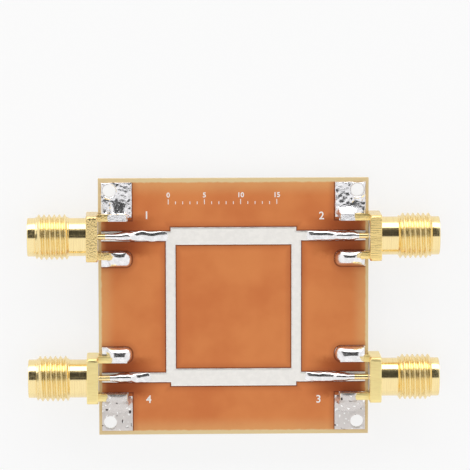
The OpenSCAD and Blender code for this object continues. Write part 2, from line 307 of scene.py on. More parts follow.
sheet_finish, wire, shader = finish("white_sheet", base_color=(0.93, 0.93, 0.93, 1), roughness=0.9,
                                    specular_ior_level=0.1)
glow = wire.node("ShaderNodeEmission", {}, {"Color": (1, 1, 1, 1), "Strength": 1.0})
seen = larger(wire.node("ShaderNodeLightPath", out="Is Camera Ray"),
              larger(wire.node("ShaderNodeLightPath", out="Is Glossy Ray"),
                     wire.node("ShaderNodeLightPath", out="Is Transmission Ray")))
PLAIN_WHITE_SHARE, REACH = 0.75, 3.0
lit = Wire(wire.tree, shader.outputs[0])
blend = wire.node("ShaderNodeMixShader", {}, {0: seen * PLAIN_WHITE_SHARE, 1: lit, 2: glow})
wire.tree.links.new(blend.socket, wire.tree.nodes["Material Output"].inputs["Surface"])
corners = [(-REACH, -REACH, 0), (REACH, -REACH, 0), (REACH, REACH, 0), (-REACH, REACH, 0)]
floor = new_object("floor", corners, [(0, 1, 2, 3)], sheet_finish)
print("floor", 2 * REACH, "m wide")

# %% [markdown]
# ## Metal finishes
# The plating is gold over turned and milled brass. Turning leaves rings round the axis and
# milling leaves straight lines, both far finer than a pixel, so they are noise squeezed
# hard along one direction. They feed a Bump node and break up the roughness. A die leaves
# the thread rougher. The flanges didn't all come out alike: one is speckled, and one is
# deeply scored.

# %% Gold
def gold_finish(name, squeeze, depth_mm, low, high, gold=(0.97, 0.79, 0.41)):
    """Gold with fine lines: squeeze gives their direction, low and high the roughness."""
    shade = [level * share for level, share in zip(gold, (0.95, 0.92, 0.9))]
    material, wire, shader = finish(name, metallic=1.0)
    place, _ = place_mm(wire)
    lines = noise(place, 1.0, 3.0, squeeze)
    cloud = noise(place, 0.7)
    feed(lines.ramp(0.3, 0.6).mix((*shade, 1), (*gold, 1)), shader, "Base Color")
    feed(low + lines * cloud * (2 * (high - low)), shader, "Roughness")
    relief(lines, shader, depth_mm)
    return material


turned_gold = gold_finish("turned_gold", (6.0, 0.3, 0.3), 0.002, 0.06, 0.26)
cut_gold = gold_finish("cut_gold", (9.0, 0.8, 0.8), 0.02, 0.18, 0.38)
milled_gold = gold_finish("milled_gold", (0.5, 4.0, 2.0), 0.03, 0.24, 0.5, (1.0, 0.83, 0.38))
scored_gold = gold_finish("scored_gold", (0.3, 5.0, 2.0), 0.055, 0.18, 0.34, (0.98, 0.75, 0.32))
speckled_gold = gold_finish("speckled_gold", (4.0, 4.0, 4.0), 0.07, 0.18, 0.34, (0.92, 0.71, 0.33))
print("nodes in the turned gold:", len(turned_gold.node_tree.nodes))

# %% [markdown]
# Two finishes need to know how far a point is from the edge of the copper lines: the foil,
# whose tin is rounded over at its rim, and the laminate, with painted shade beside it. The
# lines are boxes in plan, and the distance to a union of boxes is the smallest of theirs.

# %% Distance from the copper lines
def off_line(x, y):
    """Millimetres from a point to the ring and its four feed lines, below zero on them."""
    off_x, off_y = abs(x), abs(y)
    off_axis = abs(off_y - port_y)
    wide_arm = larger(off_axis - wide_w / 2, off_x - ring_x)
    narrow_arm = larger(abs(off_x - ring_x) - narrow_w / 2, off_y - (port_y + narrow_w / 2))
    feed_line = larger(off_axis - narrow_w / 2, ring_x - off_x)
    return smaller(smaller(wide_arm, narrow_arm), feed_line)


# %% [markdown]
# Solder and tinned foil are the same metal at two stages. Set solder is smooth and bright
# and mirrors the room in patches. The foil was dipped and levelled, so it is a dull
# silver-white skin with a fine grain. It is given a low metallic value with a pale base,
# since its grain scatters light much as paint does. Only its rounded rim is given as metal.

# %% Solder and tin
# The dark pit colour is painted shade for the inside of sunken pits
PIT_SHADE, SPECK_TINT = srgb(84, 76, 74), srgb(255, 254, 252)


def tin_finish(name, colour, metallic, low, high, grain, grain_mm, shade=0.86, rim_mm=0.0, pits=False):
    """Tin or solder: low and high bound the roughness, grain is the size of its bump."""
    material, wire, shader = finish(name, metallic=metallic)
    place, (x, y, _) = place_mm(wire)
    cloud, fine = noise(place, 1.6, 3.0), noise(place, grain, 3.0)
    dull = tuple(c * shade for c in colour[:3]) + (1.0,)
    tint = cloud.ramp(0.35, 0.7).mix(dull, colour)
    height = fine + cloud * 0.5
    if pits:
        # Pits: sunk in the relief, with their shade painted into the colour
        pit = noise(place, 1.7, 0.0).ramp(0.71, 0.77)
        speck = noise(place, 2.3, 0.0).ramp(0.7, 0.76)
        tint = speck.mix(pit.mix(tint, PIT_SHADE), SPECK_TINT)
        height = height - pit * 4
    feed(tint, shader, "Base Color")
    feed(low + cloud * fine * (3 * (high - low)), shader, "Roughness")
    if rim_mm:
        past_rim = off_line(x, y) + (cloud - 0.5) * 0.2
        feed(metallic + past_rim.ramp(-0.3, -0.15) * (1 - metallic), shader, "Metallic")
        broken = noise(place, 2.5).ramp(0.35, 0.6)
        height = height - past_rim.ramp(-0.22, 0.0) * (0.3 + broken * 0.7) * (rim_mm / grain_mm)
    relief(height, shader, grain_mm)
    return material


tinned_foil = tin_finish("tinned_foil", srgb(252, 249, 244), 0.3, 0.35, 0.6, 9.0, 0.004, 0.95)
rimmed_foil = tin_finish("rimmed_foil", srgb(252, 249, 244), 0.3, 0.3, 0.5, 9.0, 0.004, 0.95, 0.04)
bright_solder = tin_finish("bright_solder", (0.93, 0.92, 0.93, 1), 1.0, 0.05, 0.16, 5.0, 0.004)
mottled_solder = tin_finish("mottled_solder", (0.92, 0.91, 0.93, 1), 1.0, 0.04, 0.15, 5.0, 0.045)
satin_solder = tin_finish("satin_solder", srgb(221, 215, 212), 0.8, 0.12, 0.27, 6.0, 0.004, 0.93, pits=True)
grey_solder = tin_finish("grey_solder", srgb(230, 224, 221), 0.6, 0.32, 0.5, 6.0, 0.006, 0.93, pits=True)
print("nodes in the pitted solder:", len(grey_solder.node_tree.nodes))

# %% [markdown]
# ## Laminate
# The sheet is woven glass in resin. Over the ground plane it looks orange-brown, because
# the copper behind it stops the light. Round the rim there is no copper, light passes, and
# the same sheet looks beige. Flux was baked into it where the iron rested, between the
# legs of each jack. All of that depends only on where a point lies, so distances in plan
# give the masks and a little noise roughens their edges. The walls of the mounting holes
# are plated, so there the same colour turns to tin.

# %% Laminate finish
laminate_finish, wire, shader = finish("laminate_resin", roughness=0.4, specular_ior_level=0.15)
place, (x, y, z) = place_mm(wire)
cloud = noise(place, 0.16, 3.0)
rough_edge = (noise(place, 1.6, 3.0) - 0.5) * 0.5
off_x, off_y = abs(x), abs(y)
off_axis = abs(off_y - port_y)
resin = ((cloud - 0.5) * 2.2 + 0.5).ramp(0.0, 1.0).mix(srgb(209, 120, 67), srgb(221, 136, 78))

# Paler towards the rim of the ground plane, and beige past it
past_copper = larger(off_x - copper_x, off_y - copper_y) + rough_edge * 0.5
resin = (past_copper.ramp(-2.2, 0.1) * 0.6).mix(resin, srgb(228, 172, 112))
resin = past_copper.ramp(-0.12, 0.1).mix(resin, srgb(228, 203, 154))

# Flux baked in on both sides of each feed line
baked = (off_axis + rough_edge * 2).ramp(3.4, 1.9) * off_x.ramp(9.5, 14.5) * off_x.ramp(18.4, 17.4)
resin = (baked * 0.78).mix(resin, srgb(146, 60, 18))

# Painted shade beside all metal, where the metal keeps light out of the sheet: a brown halo, and a dark
# line right against it that is partly flux
side_mid, side_half = sum(side_pad_y) / 2, (side_pad_y[1] - side_pad_y[0]) / 2
past_end = larger(side_pad_x[0] + pad_round - off_x, 0)
past_side = larger(abs(off_y - side_mid) - (side_half - pad_round), 0)
off_side_pad = (past_end * past_end + past_side * past_side).root()
off_corner_pad = larger(corner_pad_x[0] - off_x, corner_pad_y[0] + 0.1 - off_y)
off_metal = smaller(smaller(off_line(x, y), off_side_pad - pad_round), off_corner_pad)
shade_and_flux_beside_metal = past_copper.ramp(0.1, -0.2) * off_metal.ramp(-0.05, 0.0)
resin = ((off_metal + rough_edge * 0.3).ramp(1.1, 0.0) * shade_and_flux_beside_metal * 0.4).mix(resin, srgb(170, 88, 50))
resin = ((off_metal + rough_edge * 0.1).ramp(0.22, 0.08) * shade_and_flux_beside_metal * 0.7).mix(resin, srgb(96, 42, 26))

# Tin on the walls of the mounting holes
from_hole = ((off_x - hole_x) * (off_x - hole_x) + (off_y - hole_y) * (off_y - hole_y)).root()
resin = from_hole.ramp(hole_r + 0.03, hole_r + 0.01).mix(resin, srgb(222, 219, 214))
feed(resin, shader, "Base Color")

# The weave shows through as a low relief
YARN_MM = 0.55
weave = (x * (2 * math.pi / YARN_MM)).sine() * (y * (2 * math.pi / YARN_MM)).sine()
relief(weave * 0.5 + noise(place, 3.0) * 0.5, shader, 0.004)
print("nodes in the laminate:", len(laminate_finish.node_tree.nodes))

# %% [markdown]
# The insulator is turned from a white waxy plastic, which lets a little light in. It is
# seen only at the two ends of the bore. The print on the board is a thick white ink.

# %% Insulator and ink
wax_finish, wire, shader = finish("waxy_white", roughness=0.45, subsurface_weight=0.1)
place, _ = place_mm(wire)
feed(noise(place, 1.2).mix(srgb(236, 233, 224), srgb(248, 246, 240)), shader, "Base Color")
relief(noise(place, 8.0, 2.0, (1.0, 0.2, 0.2)), shader, 0.003)

ink_finish, wire, shader = finish("white_ink", roughness=0.6)
place, _ = place_mm(wire)
feed(noise(place, 6.0).mix(srgb(236, 228, 220), srgb(255, 252, 248)), shader, "Base Color")

# %% [markdown]
# ## CAD pieces that stay
# A node whose shape is already right only gets its finish, on the slots that it came with.

# %% Finishes on the CAD pieces
def dress(node, material):
    for slot in nodes[node].material_slots:
        slot.material = material


dress("board", laminate_finish)
dress("ground_plane", tinned_foil)
dress("coupler_trace", rimmed_foil)
for port in PORTS:
    dress(f"via_fill_{port}", grey_solder)
    dress(f"under_leg_solder_{port}", bright_solder)
    dress(f"jack_insulator_{port}", wax_finish)
    dress(f"jack_contact_{port}", turned_gold)
print("dressed", 3 + 4 * len(PORTS), "nodes")

# %% [markdown]
# ## Mesh tools
# Nearly everything here is a net of points: rows along a piece, columns round it. `net`
# joins such a table of points with four-sided faces. `tidy` merges points that coincide,
# closes what is open and turns all faces outwards. `boolean` unites or cuts solids.

# %% Nets and solids
def net(points, wrap_rows=False, wrap_columns=False):
    """The vertices and faces of a table of points, joined up along its rows and columns."""
    rows, columns = points.shape[:2]
    index = np.arange(rows * columns).reshape(rows, columns)
    if wrap_rows:
        index = np.vstack([index, index[:1]])
    if wrap_columns:
        index = np.hstack([index, index[:, :1]])
    corners = index[:-1, :-1], index[1:, :-1], index[1:, 1:], index[:-1, 1:]
    return points.reshape(-1, 3) * MM, np.stack(corners, axis=-1).reshape(-1, 4)


MERGE_MM = 0.0002


def tidy(piece, sharp=35):
    """Merges coincident points, closes open ends, turns faces outwards and shades smoothly."""
    work = bmesh.new()
    work.from_mesh(piece.data)
    bmesh.ops.remove_doubles(work, verts=work.verts, dist=MERGE_MM * MM)
    bmesh.ops.dissolve_degenerate(work, edges=work.edges, dist=MERGE_MM * MM / 2)
    open_edges = [e for e in work.edges if len(e.link_faces) == 1]
    if open_edges:
        bmesh.ops.holes_fill(work, edges=open_edges)
    bmesh.ops.recalc_face_normals(work, faces=work.faces)
    work.to_mesh(piece.data)
    work.free()
    piece.data.shade_smooth()
    piece.data.set_sharp_from_angle(angle=math.radians(sharp))
    return piece


def boolean(piece, operation, other):
    """Unites piece with other, or cuts other from it. Other is used up."""
    modifier = piece.modifiers.new("boolean", "BOOLEAN")
    modifier.operation, modifier.object, modifier.solver = operation, other, "EXACT"
    shape = bpy.data.meshes.new_from_object(piece.evaluated_get(bpy.context.evaluated_depsgraph_get()))
    piece.modifiers.clear()
    piece.data = shape
    bpy.data.objects.remove(other)
    return piece


# %% [markdown]
# Two solids are wanted often: one turned on a lathe, and a bar with broken edges. `settle`
# says of a finished piece what it is made of, which body it rides on, and which CAD nodes
# it stands for.

# %% Turned solids, bars and settling
def lathe(name, profile, steps=96):
    """A solid turned round the X axis from pairs of place and radius that end on the axis."""
    angles = np.arange(steps) * (2 * math.pi / steps)
    points = np.array([[(s, r * math.cos(a), r * math.sin(a)) for a in angles] for s, r in profile])
    return tidy(new_object(name, *net(points, wrap_columns=True)))


def bar(name, low, high, bevel):
    """A bar between two corners, with its edges rounded over."""
    work = bmesh.new()
    bmesh.ops.create_cube(work, size=1)
    low, high = Vector(low) * MM, Vector(high) * MM
    for v in work.verts:
        v.co = [a + (b - a) * (c + 0.5) for a, b, c in zip(low, high, v.co)]
    bmesh.ops.bevel(work, geom=work.edges, offset=bevel * MM, segments=3, profile=0.5, affect="EDGES")
    mesh = bpy.data.meshes.new(name)
    work.to_mesh(mesh)
    work.free()
    piece = bpy.data.objects.new(name, mesh)
    bpy.context.scene.collection.objects.link(piece)
    return piece


def settle(piece, material, slot, *replaced):
    """Gives a finished piece its material and body, and hides the nodes it stands for. Slot is not used."""
    if material:
        piece.data.materials.clear()
        piece.data.materials.append(material)
    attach(piece, "root")
    if replaced:
        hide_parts(*replaced)
    return piece


# %% [markdown]
# ## Jack bodies
# Each body is one piece of brass: a square flange whose corners were turned off, four legs
# that grip the board, a neck, a thread and a plain land at the mouth. The thread is the
# hard part. A bump map would leave the outline smooth, and a stack of rings isn't a
# thread. So the outside of the barrel is a net whose rows climb with the helix: every
# point of the thread's profile is moved along the axis by the share of a turn that it lies
# at, then held inside the threaded length, where the points pile up into plain rings and
# are merged. The thread also fades at both ends, as a die leaves it.

# %% Thread and barrel
PITCH, CREST_R, ROOT_R = 25.4 / 36, 3.15, 2.76
RUNOUT, ROOT_FADE, NECK_FADE, LAND_FADE = 0.4, 0.06, 0.3, 0.3
NECK_R, LAND_R, MOUTH_BEVEL = 2.65, 2.675, 0.12
# The bore's clearance round the insulator, and the hair that keeps close rings apart
FIT_CLEARANCE, HAIR = 0.01, 0.02
thread_half = mounts["thread_out1"]["dims"]["length_mm"] / 2 + RUNOUT
thread_mid = mounts["thread_out1"]["pos_m"][0] / MM - flange_x
thread_from, thread_to = thread_mid - thread_half, thread_mid + thread_half
barrel_end = tip_x - flange_x
mouth_r = mounts["mouth_out1"]["dims"]["r_mm"]
insulator_r = (span("jack_insulator_out1", 1)[1] - port_y) + FIT_CLEARANCE
face_at = span("jack_insulator_out1", 0)[1] - flange_x
# The barrel starts a little inside the flange, and has this many points round it
OVERLAP, BARREL_STEPS = 0.3, 120
# Share of a turn and of the thread's depth: a rounded root, a flank, a rounded crest
THREAD_FORM = [(0.0, 0.06), (0.06, 0.01), (0.14, 0.01), (0.2, 0.06),
               (0.52, 0.95), (0.57, 1.0), (0.63, 1.0), (0.68, 0.95)]


def barrel(name, start):
    """The turned outside of a jack from its flange to its tip. Start is where its thread begins."""
    turns = int((thread_to - thread_from) / PITCH) + 3
    form = [(turn + share, depth) for turn in range(turns) for share, depth in THREAD_FORM]
    rows = []
    for angle in np.linspace(0, 2 * math.pi, BARREL_STEPS + 1):
        climb = (angle / (2 * math.pi) - 1) * PITCH
        column = [(OVERLAP, 0.0), (OVERLAP, NECK_R), (flange_t + 0.1, NECK_R),
                  (thread_from - HAIR, NECK_R)]
        for turn, depth in form:
            s = min(max(thread_from + climb + turn * PITCH, thread_from), thread_to)
            from_end = min(s - thread_from, thread_to - s)
            end_r = NECK_R if s < thread_mid else LAND_R
            root_r = end_r + (ROOT_R - end_r) * min(1, from_end / ROOT_FADE)
            fade = min(1, (s - thread_from) / NECK_FADE, (thread_to - s) / LAND_FADE)
            column.append((s, root_r + (CREST_R - ROOT_R) * depth * fade))
        column += [(thread_to + HAIR, LAND_R), (barrel_end - MOUTH_BEVEL, LAND_R),
                   (barrel_end - MOUTH_BEVEL * 0.3, LAND_R - MOUTH_BEVEL * 0.3),
                   (barrel_end, LAND_R - MOUTH_BEVEL), (barrel_end, 0.0)]
        a = angle + start
        rows.append([(s, r * math.cos(a), r * math.sin(a)) for s, r in column])
    return tidy(new_object(name, *net(np.array(rows))))


# %% [markdown]
# The flange is the same kind of net. At each depth through its thickness lies a square
# with rounded corners, inside a circle that shrinks near both faces, which gives the turned
# corners. The square shrinks a hair there too, which breaks the edges. A round corner shows
# a bright line and a dark one beside it, where it turns through the softbox and the dark
# part of the room.

# %% Flange
CORNER_R, CORNER_BEVEL, EDGE_BREAK = 0.4, 0.2, 0.06


def rounded_square(half, angles):
    """The reach of a square with rounded corners in each direction."""
    along = np.maximum(abs(np.cos(angles)), abs(np.sin(angles)))
    across = np.minimum(abs(np.cos(angles)), abs(np.sin(angles)))
    centre = half - CORNER_R
    to_centre = centre * (along + across)
    past_centre = np.sqrt(np.maximum(to_centre ** 2 - 2 * centre ** 2 + CORNER_R ** 2, 0))
    return np.where(half * across / along <= centre, half / along, to_centre + past_centre)


def flange(name):
    """The square flange with its turned corners and broken edges."""
    straight_to = math.atan((flange_half - CORNER_R) / flange_half)
    bend = np.linspace(straight_to, math.pi / 2 - straight_to, 11)
    quarter = np.concatenate([[0, 0.35, straight_to - 0.02], bend,
                              [math.pi / 2 - straight_to + 0.02, math.pi / 2 - 0.35]])
    angles = np.concatenate([quarter + k * math.pi / 2 for k in range(4)])
    corner_reach = rounded_square(flange_half, np.array([math.pi / 4]))[0]
    rows = []
    for depth, shrink in ((0, 1.0), (0.3, 0.3), (1.0, 0.0)):
        turned = corner_reach - CORNER_BEVEL * max(0, 1 - depth * EDGE_BREAK / CORNER_BEVEL)
        rows.append((depth * EDGE_BREAK, turned, flange_half - EDGE_BREAK * shrink))
    rows.append((CORNER_BEVEL, corner_reach, flange_half))
    rows += [(flange_t - s, circle, square) for s, circle, square in reversed(rows)]
    points = []
    for s, circle, square in rows:
        r = np.minimum(circle, rounded_square(square, angles))
        points.append(np.stack([np.full_like(r, s), r * np.cos(angles), r * np.sin(angles)], axis=-1))
    return tidy(new_object(name, *net(np.array(points), wrap_columns=True)))


# %% A whole body
def jack_body(port, start):
    """Flange, legs and barrel in one, with the bore cut through them."""
    body = flange(f"gold_jack_{port}")
    for side in (-1, 1):
        for low in (leg_z - axis_z, low_leg_z - axis_z):
            y = side * (flange_half - leg_w / 2)
            leg = bar("leg", (leg_end_x - flange_x, y - leg_w / 2, low),
                      (flange_t / 2, y + leg_w / 2, low + leg_t), EDGE_BREAK)
            boolean(body, "UNION", leg)
    boolean(body, "UNION", barrel("barrel", start))
    bore = [(-1, 0), (-1, insulator_r), (face_at, insulator_r), (face_at, mouth_r),
            (barrel_end - MOUTH_BEVEL, mouth_r),
            (barrel_end + MOUTH_BEVEL, mouth_r + 2 * MOUTH_BEVEL), (barrel_end + 1, 0)]
    boolean(body, "DIFFERENCE", lathe("bore", bore))
    return tidy(body)


# %% [markdown]
# A left-hand jack is the right-hand one turned half round, never mirrored, so all four
# threads stay right-handed. Each thread starts at its own angle, as the dies left them.

# %% Four jacks
JACKS = {"in": (1.5, speckled_gold), "out1": (3.6, scored_gold),
         "out2": (3.4, milled_gold), "load": (1.7, milled_gold)}
for port, (side_x, side_y) in PORTS.items():
    thread_start, flange_finish = JACKS[port]
    body = jack_body(port, thread_start)
    body.data.materials.clear()
    for material in (turned_gold, flange_finish, cut_gold):
        body.data.materials.append(material)
    for face in body.data.polygons:
        reach_out = math.hypot(face.center.y, face.center.z) / MM
        at = face.center.x / MM
        milled = at < 0 or (at < flange_t + HAIR / 2 and reach_out > NECK_R + HAIR)
        threaded = reach_out > LAND_R + HAIR / 2
        face.material_index = 1 if milled else 2 * threaded
    half_turn = Matrix.Rotation(math.pi if side_x < 0 else 0, 4, "Z")
    seat = Vector((flange_x, port_y * side_x * side_y, axis_z)) * MM
    body.matrix_world = half_turn @ Matrix.Translation(seat)
    settle(body, None, "gold_plate", f"jack_body_{port}")
print("a jack body has", len(body.data.polygons), "faces")

# %% [markdown]
# ## The shape of set solder
# Molten solder is pulled into the smallest surface that its volume and the wetted metal
# allow, like a soap film over a frame. That can be worked out instead of drawn. The net
# below is such a film over a pad: held down at its rim, lifted by a push where there is
# much solder, and never lower than the leg or pin under it. Each round moves the points
# towards the mean of their neighbours plus the push, first the white squares of a
# chessboard and then the black ones. Several hundred rounds settle it. Working with a power
# of the heights gives the steep, blunt sides of a full drop. Slow random waves in the push
# and the outline keep any two joints from being alike.

# %% Films and waves
ROUNDS, STRIDE = 800, 1.8


def film(x, y, lowest, highest, push, power):
    """Heights of a film over a net of places, kept between its lowest and highest heights."""
    low, high = lowest ** power, highest ** power
    inner = (slice(1, -1), slice(1, -1))
    gap_x, gap_y = np.diff(x, axis=0), np.diff(y, axis=1)
    before, after, near, far = gap_x[:-1], gap_x[1:], gap_y[1:-1, :-1], gap_y[1:-1, 1:]
    pull = [2 / (a * (a + b)) for a, b in ((before, after), (after, before), (near, far), (far, near))]
    chessboard = np.add.outer(np.arange(len(x) - 2), np.arange(y.shape[1] - 2)) % 2
    z = low.copy()
    for turn in range(ROUNDS):
        mean = (pull[0] * z[:-2, 1:-1] + pull[1] * z[2:, 1:-1] + pull[2] * z[1:-1, :-2]
                + pull[3] * z[1:-1, 2:] + push[inner]) / sum(pull)
        moved = z[inner] + STRIDE * (mean - z[inner]) * (chessboard == turn % 2)
        z[inner] = np.clip(moved, low[inner], high[inner])
    return z ** (1 / power)


def waves(x, y, size, seed):
    """Smooth random waves over a plane, mostly within -1 to 1, with bumps about size wide."""
    draw, total = random.Random(seed), 0
    for _ in range(7):
        angle, phase = draw.uniform(0, 2 * math.pi), draw.uniform(0, 2 * math.pi)
        k = math.pi / size * draw.uniform(0.6, 1.5)
        total = total + np.cos(k * (x * math.cos(angle) + y * math.sin(angle)) + phase)
    return total / 3


def soft_step(value, low, high):
    """0 at low, 1 at high and smooth between."""
    share = np.clip((value - low) / (high - low), 0, 1)
    return share * share * (3 - 2 * share)


def round_off(from_end, radius):
    """How much narrower an outline is at a distance from its rounded end."""
    return radius - np.sqrt(radius ** 2 - np.clip(radius - from_end, 0, radius) ** 2)


# %% [markdown]
# Both kinds of joint are drawn for the upper right port and mirrored to their own. `cast`
# closes a net of heights downwards, a little way into the foil that it stands on.

# %% From heights to a solid
# Solder reaches this far into the foil, and lies this thick over a leg or a pin
SINK, SKIN = 0.015, 0.035
NO_LIMIT = 9.0


def at_port(points, port):
    """Points drawn for the upper right port, moved to their own."""
    return np.asarray(points) * (*PORTS[port], 1)


def extent(node, axis):
    """Where a node begins and ends along an axis, counted outwards from the middle."""
    return sorted(abs(v) for v in span(node, axis))


def stations(low, high, count):
    """Places along X as a column, closer together near both ends."""
    share = np.linspace(0, 1, count)
    return (low + (high - low) * (0.5 * share + 0.25 * (1 - np.cos(math.pi * share))))[:, None]


def cast(name, port, x, y, height, material, base_z=copper_z - SINK):
    """A solid from the plane base_z up to a net of heights over the copper."""
    top = np.stack(np.broadcast_arrays(x, y, copper_z + height), axis=-1)
    foot = top[:, [0, -1]] * (1, 1, 0) + (0, 0, base_z)
    points = np.concatenate([foot[:, :1], top, foot[:, 1:]], axis=1)
    return tidy(new_object(name, *net(at_port(points, port), wrap_columns=True), material), sharp=60)


# %% [markdown]
# ## Solder on the centre pins
# On each feed line lies a long mound, as wide as the line. It is a low ridge up to the
# pin's blunt end, climbs over the pin as a thin skin, and narrows to a collar where the
# bare gold comes out of it.

# %% Joints on the pins
TAIL_LEN, COLLAR_IN, COLLAR_H = 4.5, 0.22, 0.1
TAIL_ROWS, TAIL_COLUMNS = 120, 33
tail_end_x = flange_x - TAIL_LEN
pin_rise, pin_r = axis_z - copper_z, tail_r + SKIN


def tail_joint(port, seed, neck, sway, push, low_push):
    """Neck is the length over which the mound narrows to its collar."""
    x = stations(*extent(f"tail_solder_{port}", 0), TAIL_ROWS)
    from_end, from_collar = x - x[0], x[-1] - x
    collar = COLLAR_IN * (1 - soft_step(from_collar, 0, neck))
    half = narrow_w / 2 - 0.01 - round_off(from_end, 0.5) - collar
    half = half + 0.02 * waves(x, 0, 0.7, seed) * soft_step(from_end, 0, 1)
    free = soft_step(from_collar, 0.5, 2.5) * soft_step(from_end, 0, 2)
    middle = port_y + sway * waves(x, 0, 1.6, seed + 2) * free
    y = middle + half * np.sin(np.linspace(-math.pi / 2, math.pi / 2, TAIL_COLUMNS))
    over_pin = (x >= tail_end_x) & (abs(y - port_y) < pin_r)
    arch = pin_rise + np.sqrt(np.maximum(pin_r ** 2 - (y - port_y) ** 2, 0))
    lowest = np.where(over_pin, arch, 0.0)
    lowest[-1] = COLLAR_H
    lift = low_push + (push - low_push) * soft_step(x, tail_end_x - 0.5, tail_end_x + 0.5)
    lift = lift * (1 + 0.3 * waves(x, y, 0.8, seed + 1)) * soft_step(from_end, 0, 1.5)
    height = film(x, y, lowest, np.full_like(y, NO_LIMIT), lift, 2.0)
    return cast(f"tail_joint_{port}", port, x, y, height, bright_solder)


# For each port: seed, neck, sway from side to side, push over the pin and push before it
TAIL_JOINTS = {"in": (3, 3.0, 0.06, 3.6, 0.25), "out1": (11, 0.9, 0.03, 4.3, 0.9),
               "out2": (17, 1.8, 0.04, 4.0, 0.9), "load": (23, 1.4, 0.06, 4.0, 0.4)}
for port, shape in TAIL_JOINTS.items():
    joint = settle(tail_joint(port, *shape), None, "solder", f"tail_solder_{port}")
    top = max(v.co.z for v in joint.data.vertices) / MM
    print(joint.name, "stands", round(top - copper_z, 2), "mm over the copper")

# %% [markdown]
# ## Solder on the legs
# A leg is a square bar near one edge of its pad. On that side the solder drops as a steep
# wall. On the other it has room: where there is much of it, it heaps over the leg, and
# where there is little, it hangs from the leg's edge to the pad as a hollow fillet. A push
# upwards or downwards makes the one or the other. Near the flange the leg stays bare, so
# there the film may only climb its sides, less and less. At the first port a strip of
# solder ran from the leg up the corner pad, between two shallow pools.

# %% Joints on the legs
# For each port: bare length, length over which the joint's end drops, push over the leg,
# push beside it, height beside it, unrest, power, finish and where a strip ran up the pad
CORNER_JOINTS = {"in": (1.4, 1.0, 0.0, 0.9, 0.65, 0.5, 1.0, mottled_solder, 15.85),
                 "out1": (2.0, 1.2, 0.0, -0.35, 1.0, 0.4, 1.0, mottled_solder),
                 "out2": (1.7, 1.2, 0.7, -0.45, NO_LIMIT, 0.2, 1.0, satin_solder),
                 "load": (1.1, 1.0, 0.7, -0.45, NO_LIMIT, 0.2, 1.0, satin_solder)}
SIDE_JOINTS = {"in": (1.85, 0.4, 3.4, 1.8, NO_LIMIT, 0.9, 2.3, bright_solder),
               "out1": (1.1, 0.9, 3.7, 2.4, NO_LIMIT, 0.6, 1.6, bright_solder),
               "out2": (0.7, 0.7, 2.6, 2.8, NO_LIMIT, 1.4, 2.0, bright_solder),
               "load": (1.65, 0.4, 2.9, 2.6, NO_LIMIT, 0.5, 2.0, bright_solder)}
LAND_MARGIN, CORNER_REACH, CORNER_ROUND = 0.06, 2.1, 0.45
PAD_STEP_X, PAD_STEP_Y = 0.6, 0.5
LEG_ROWS, LEG_COLUMNS, CROWDING = 84, 62, 1.25
leg_rise = leg_top - copper_z
leg_far = flange_half
leg_near = leg_far - leg_w
print(f"the legs stand {leg_rise:.2f} mm over the copper")

# %% The strip at the first port
POOL_H, POOL_RISE, STRIP_HALF, STRIP_LEAN, RIPPLE = 0.03, 0.07, (1.3, 0.85), 0.05, 0.045


def strip_rise(x, d, rise, strip, seed):
    """How high solder may stand past the leg: a rippled strip, with a shallow pool at each side."""
    past_leg = d - leg_far
    pool = POOL_H + POOL_RISE * past_leg
    run = soft_step(abs(x - strip + STRIP_LEAN * past_leg), *STRIP_HALF)
    height = pool + run * (rise * (1 - past_leg / CORNER_REACH) - pool)
    return height + RIPPLE * waves(x + 0 * d, d, 0.3, seed + 7)


# %% [markdown]
# A joint is a table of heights like any other film: x runs along the leg, and d runs away
# from the jack's axis. `lowest` keeps the film over the covered part of the leg, and
# `highest` keeps it below the top of the bare part.

# %% A joint on a leg
def leg_joint(name, port, side, seed, shape):
    """A joint on the leg to one side of the jack's axis: 1 away from the middle, -1 towards it."""
    bare, fall, over, beside, side_rise, unrest, power, material, *strip = shape
    x = stations(*side_pad_x, LEG_ROWS)
    near, far, inner_round = leg_near - LAND_MARGIN, port_y - side_pad_y[0], pad_round
    if side > 0:
        near = near + PAD_STEP_Y * (1 - soft_step(x, x[0] + PAD_STEP_X, x[0] + PAD_STEP_X + 0.1))
        far, inner_round = leg_far + CORNER_REACH, CORNER_ROUND
    narrower = round_off(x - x[0], inner_round) + round_off(x[-1] - x, 0.3)
    near, far = near + narrower, far - narrower * (1 + 0.1 * unrest * waves(x, 0, 0.8, seed + 4))
    d = near + (far - near) * np.linspace(0, 1, LEG_COLUMNS) ** CROWDING
    wide_x = x + 0 * d
    on_leg = (wide_x >= leg_end_x) & (d >= leg_near) & (d <= leg_far)
    bare_from = flange_x - bare + 0.1 * waves(d, 0, 0.7, seed + 3)
    lowest = np.where(on_leg & (wide_x <= bare_from), leg_rise + SKIN, 0.0)
    past = (wide_x - bare_from - 0.3 * fall * soft_step(d, leg_far - 0.1, leg_far + 0.5)) / fall
    end_height = np.interp(past, [0, 1], [leg_rise - 0.03, 0.1])
    if strip:
        side_rise = strip_rise(x, d, side_rise, *strip, seed)
    highest = np.where(past > 0, end_height, np.where(d > leg_far, side_rise, NO_LIMIT))
    lift = over + (beside - over) * soft_step(d, leg_far - 0.1, leg_far + 0.6)
    lift = lift + 0.45 * unrest * waves(wide_x, d, 0.8, seed)
    height = film(x, d, lowest, highest, lift, power)
    return cast(name, port, x, port_y + side * d, height - 0.8 * SINK, material)


